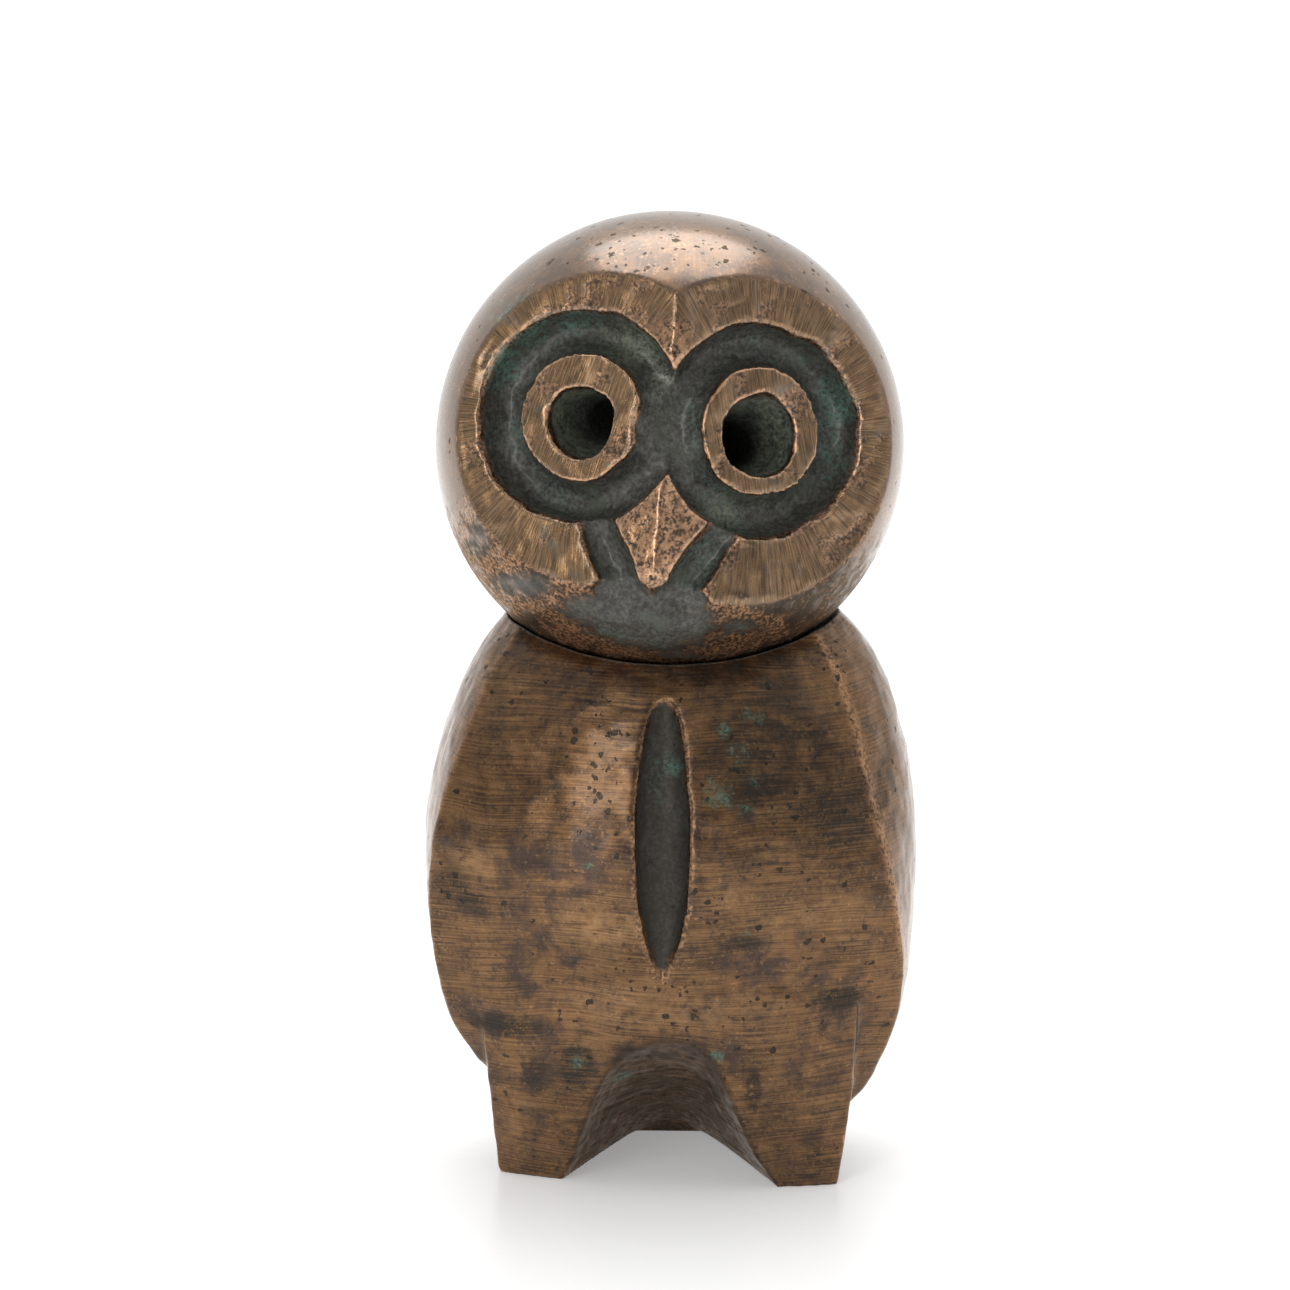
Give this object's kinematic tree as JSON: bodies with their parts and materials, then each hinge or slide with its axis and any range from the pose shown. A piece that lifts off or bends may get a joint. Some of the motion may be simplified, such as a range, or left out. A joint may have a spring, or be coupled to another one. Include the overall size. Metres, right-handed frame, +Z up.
{
  "type": "owl figurine",
  "caption": "Cast bronze owl figurine with a filed face on a ball head that nods, leans and turns in a cup on the body, held by a sprung neck stud.",
  "frame": {"origin": "on the floor, under the middle of the owl's bounding box", "axes": "+Z up, the owl's chest and face look along -Y, and its left wing is towards +X"},
  "size_m": [0.0615, 0.0561, 0.1195],
  "materials": {
    "body_bronze": "brown patinated cast bronze, brushed across, dark in the hollows with a little verdigris, copper coloured on worn edges",
    "head_bronze": "brown patinated cast bronze ball with filed flats, charcoal grooves with verdigris, copper coloured on worn edges",
    "seat_leather": "thin dark greased leather",
    "steel": "plain turned steel"
  },
  "bodies": {
    "trunk": {"body": "body_bronze", "retainer_ring": "steel"},
    "seat": {"seat_washer": "seat_leather"},
    "spring_seat": {"dished_washer": "steel", "neck_spring": "steel"},
    "ball_head": {"head": "head_bronze", "neck_stud": "steel", "flat_washer": "steel", "lock_nut": "steel"}
  },
  "joints": [
    {"name": "neck_nod", "type": "hinge", "parent": "trunk", "child": "seat", "pos_m": [0, -0.00105, 0.0904], "axis": [1, 0, 0], "range_deg": [-6, 6]},
    {"name": "neck_lean", "type": "hinge", "parent": "seat", "child": "spring_seat", "pos_m": [0, -0.00105, 0.0904], "axis": [0, 1, 0], "range_deg": [-10.8, 1.2]},
    {"name": "neck_turn", "type": "hinge", "parent": "spring_seat", "child": "ball_head", "pos_m": [0, -0.00105, 0.0904], "axis": [0.0837, 0, 0.9965], "continuous": true}
  ]
}
